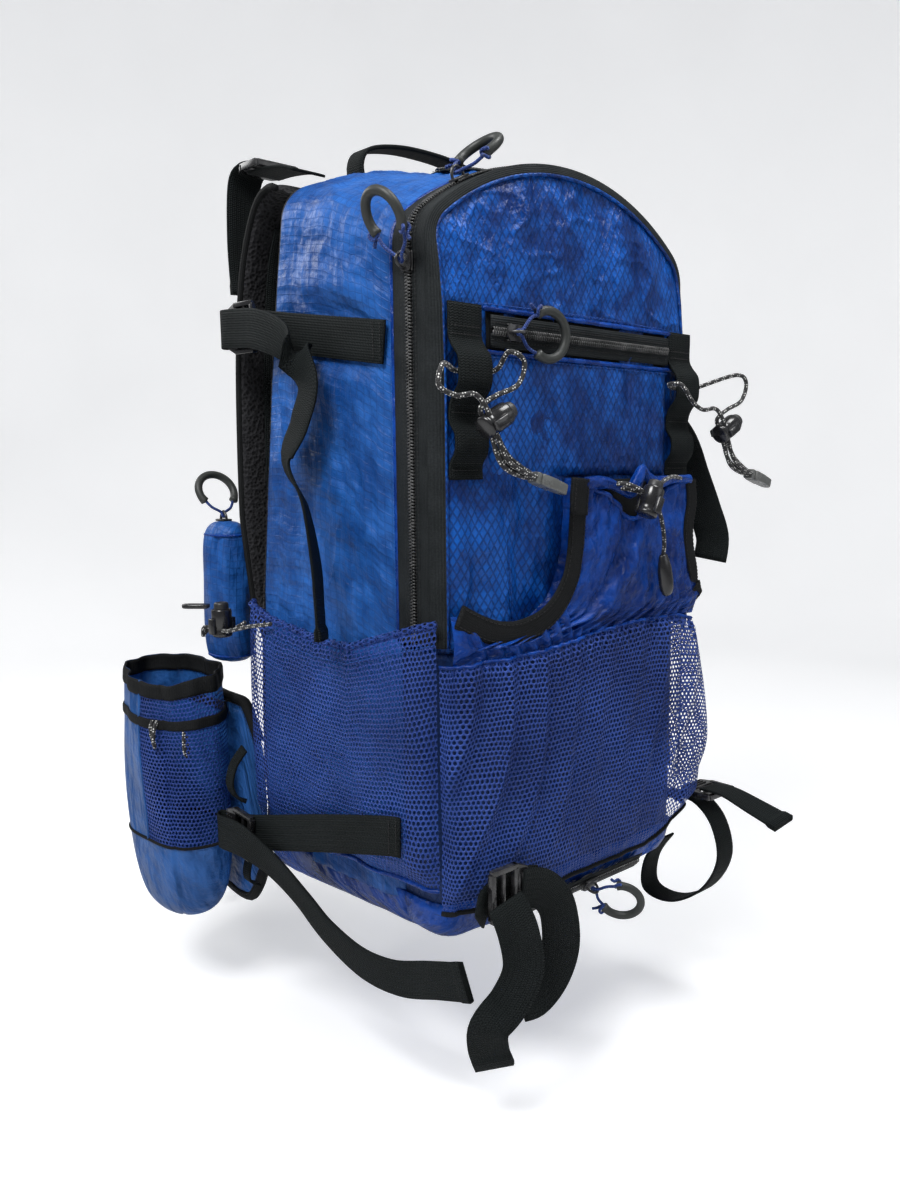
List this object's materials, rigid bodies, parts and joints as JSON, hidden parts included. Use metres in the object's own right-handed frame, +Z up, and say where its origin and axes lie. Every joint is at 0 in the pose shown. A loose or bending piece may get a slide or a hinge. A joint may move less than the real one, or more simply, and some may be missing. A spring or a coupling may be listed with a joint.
{
  "type": "hiking daypack",
  "caption": "panel loading hiking daypack with arched zipped front door, mesh pockets, compression straps, bungee tool holders and padded hip belt",
  "frame": {"origin": "centre of the base of the packbag, on its underside", "axes": "+Z up, -Y the front that faces away from the wearer, +Y the wearer's side, -X the wearer's left"},
  "size_m": [0.3778, 0.4966, 0.5938],
  "materials": {
    "blue_nylon": "royal blue ripstop nylon with a soft sheen",
    "blue_mesh": "open hexagonal polyester mesh, purplish blue",
    "spacer_mesh": "black spacer mesh over foam",
    "lining": "grey coated taffeta",
    "frame_plastic": "moulded polyethylene sheet",
    "zipper_tape": "dark grey woven tape with nylon coil",
    "binding_tape": "black grosgrain binding",
    "webbing": "black woven polyester webbing",
    "elastic_cord": "black elastic cord with white flecks",
    "slider_metal": "black painted die cast",
    "pull_rubber": "dark grey moulded rubber",
    "black_plastic": "black moulded acetal"
  },
  "bodies": {
    "root": {"back_panel": "spacer_mesh", "side_panels": "blue_nylon", "top_panel": "blue_nylon", "base_panel": "blue_nylon", "lower_front_panel": "blue_nylon", "frame_sheet": "frame_plastic", "hydration_sleeve": "lining", "back_pads": "spacer_mesh", "main_zipper_bag_half": "zipper_tape", "front_mesh_pocket": "blue_mesh", "side_mesh_pockets": "blue_mesh", "side_pocket_cords": "elastic_cord", "side_pocket_locks": "black_plastic", "shoulder_straps": "spacer_mesh", "harness_webbing": "webbing", "ladder_locks": "black_plastic", "compression_straps": "webbing", "bottom_straps": "webbing", "webbing_loops": "webbing", "base_pocket_zipper": "zipper_tape", "top_pocket_zipper": "zipper_tape", "zip_pouch": "blue_nylon"},
    "front_door": {"front_panel": "blue_nylon", "front_pocket_panel": "blue_nylon", "front_pocket_zipper": "zipper_tape", "main_zipper_door_half": "zipper_tape", "stretch_pocket": "blue_nylon", "stretch_pocket_binding": "binding_tape", "daisy_chains": "webbing", "stretch_cord": "elastic_cord", "stretch_lock": "black_plastic"},
    "stretch_press": {"stretch_button": "black_plastic"},
    "haul": {"haul_loop": "webbing"},
    "main_slide_l": {"main_slider_l": "slider_metal"},
    "main_swing_l": {"main_pull_l": "pull_rubber"},
    "main_slide_r": {"main_slider_r": "slider_metal"},
    "main_swing_r": {"main_pull_r": "pull_rubber"},
    "top_slide": {"top_slider": "slider_metal"},
    "top_swing": {"top_pull": "pull_rubber"},
    "pocket_slide": {"pocket_slider": "slider_metal"},
    "pocket_swing": {"pocket_pull": "pull_rubber"},
    "base_slide": {"base_slider": "slider_metal"},
    "base_swing": {"base_pull": "pull_rubber"},
    "pouch_slide": {"pouch_slider": "slider_metal"},
    "belt_l": {"belt_wing_l": "blue_nylon", "bottle_pocket_l": "blue_mesh", "belt_strap_l": "webbing", "belt_socket": "black_plastic"},
    "belt_r": {"belt_wing_r": "blue_nylon", "bottle_pocket_r": "blue_mesh", "belt_strap_r": "webbing", "belt_plug": "black_plastic"},
    "tool_l": {"tool_cord_l": "elastic_cord"},
    "tool_r": {"tool_cord_r": "elastic_cord"},
    "tool_grip_l": {"tool_lock_l": "black_plastic"},
    "tool_grip_r": {"tool_lock_r": "black_plastic"},
    "tool_press_l": {"tool_button_l": "black_plastic"},
    "tool_press_r": {"tool_button_r": "black_plastic"},
    "side_press_l": {"side_button_l": "black_plastic"},
    "side_press_r": {"side_button_r": "black_plastic"}
  },
  "joints": [
    {"name": "front_door_open", "type": "hinge", "parent": "root", "child": "front_door", "pos_m": [0, -0.1085, 0.1885], "axis": [1, 0, 0], "range_deg": [0, 70]},
    {"name": "haul_loop_fold", "type": "hinge", "parent": "root", "child": "haul", "pos_m": [0, 0.073, 0.49], "axis": [1, 0, 0], "range_deg": [-70, 30]},
    {"name": "main_slider_l_travel", "type": "slide", "parent": "root", "child": "main_slide_l", "axis": [0, 0, -1], "range_m": [0, 0.2]},
    {"name": "main_pull_l_swing", "type": "hinge", "parent": "main_slide_l", "child": "main_swing_l", "pos_m": [-0.1222, -0.06, 0.414], "axis": [0, 1, 0], "range_deg": [-60, 20]},
    {"name": "main_slider_r_travel", "type": "hinge", "parent": "root", "child": "main_slide_r", "pos_m": [0, -0.06, 0.311], "axis": [0, 1, 0], "range_deg": [0, 54]},
    {"name": "main_pull_r_swing", "type": "hinge", "parent": "main_slide_r", "child": "main_swing_r", "pos_m": [-0.08022, -0.06, 0.46844], "axis": [0, 1, 0], "range_deg": [-140, 0]},
    {"name": "top_slider_travel", "type": "hinge", "parent": "root", "child": "top_slide", "pos_m": [0, -0.006, 0.311], "axis": [0, 1, 0], "range_deg": [-32, 0]},
    {"name": "top_pull_swing", "type": "hinge", "parent": "top_slide", "child": "top_swing", "pos_m": [0.06727, -0.006, 0.48623], "axis": [0, 1, 0], "range_deg": [-120, 0]},
    {"name": "pocket_slider_travel", "type": "slide", "parent": "front_door", "child": "pocket_slide", "axis": [1, 0, 0], "range_m": [0, 0.138]},
    {"name": "pocket_pull_swing", "type": "hinge", "parent": "pocket_slide", "child": "pocket_swing", "pos_m": [-0.064, -0.0961, 0.376], "axis": [0, 0, -1], "range_deg": [0, 105]},
    {"name": "base_slider_travel", "type": "slide", "parent": "root", "child": "base_slide", "axis": [1, 0, 0], "range_m": [-0.025, 0.04]},
    {"name": "base_pull_swing", "type": "hinge", "parent": "base_slide", "child": "base_swing", "pos_m": [0.014, -0.09146, 0.00447], "axis": [0, -0.5299, 0.848], "range_deg": [-45, 45]},
    {"name": "pouch_slider_travel", "type": "slide", "parent": "root", "child": "pouch_slide", "axis": [0, 1, 0], "range_m": [-0.012, 0.01]},
    {"name": "belt_wing_l_fold", "type": "hinge", "parent": "root", "child": "belt_l", "pos_m": [-0.119, 0.117, 0.07], "axis": [0, 0, -1], "range_deg": [-25, 12]},
    {"name": "belt_wing_r_fold", "type": "hinge", "parent": "root", "child": "belt_r", "pos_m": [0.119, 0.117, 0.07], "axis": [0, 0, 1], "range_deg": [-25, 12]},
    {"name": "tool_cord_l_swing", "type": "hinge", "parent": "front_door", "child": "tool_l", "pos_m": [-0.098, -0.0912, 0.352], "axis": [-1, 0, 0], "range_deg": [0, 40]},
    {"name": "tool_lock_l_travel", "type": "slide", "parent": "tool_l", "child": "tool_grip_l", "axis": [0.4695, 0, -0.8829], "range_m": [0, 0.0046]},
    {"name": "tool_button_l_press", "type": "slide", "parent": "tool_grip_l", "child": "tool_press_l", "axis": [-0.8829, 0, -0.4695], "range_m": [0, 0.0034], "stiffness_N_per_m": 900, "springref_m": -0.002},
    {"name": "tool_cord_r_swing", "type": "hinge", "parent": "front_door", "child": "tool_r", "pos_m": [0.1015, -0.0912, 0.352], "axis": [-1, 0, 0], "range_deg": [0, 40]},
    {"name": "tool_lock_r_travel", "type": "slide", "parent": "tool_r", "child": "tool_grip_r", "axis": [0.4695, 0, -0.8829], "range_m": [0, 0.0046]},
    {"name": "tool_button_r_press", "type": "slide", "parent": "tool_grip_r", "child": "tool_press_r", "axis": [-0.8829, 0, -0.4695], "range_m": [0, 0.0034], "stiffness_N_per_m": 900, "springref_m": -0.002},
    {"name": "stretch_button_press", "type": "slide", "parent": "front_door", "child": "stretch_press", "axis": [-0.4226, 0, -0.9063], "range_m": [0, 0.0034], "stiffness_N_per_m": 900, "springref_m": -0.002},
    {"name": "side_button_l_press", "type": "slide", "parent": "root", "child": "side_press_l", "axis": [0, 0, -1], "range_m": [0, 0.0034], "stiffness_N_per_m": 900, "springref_m": -0.002},
    {"name": "side_button_r_press", "type": "slide", "parent": "root", "child": "side_press_r", "axis": [0, 0, -1], "range_m": [0, 0.0034], "stiffness_N_per_m": 900, "springref_m": -0.002}
  ]
}
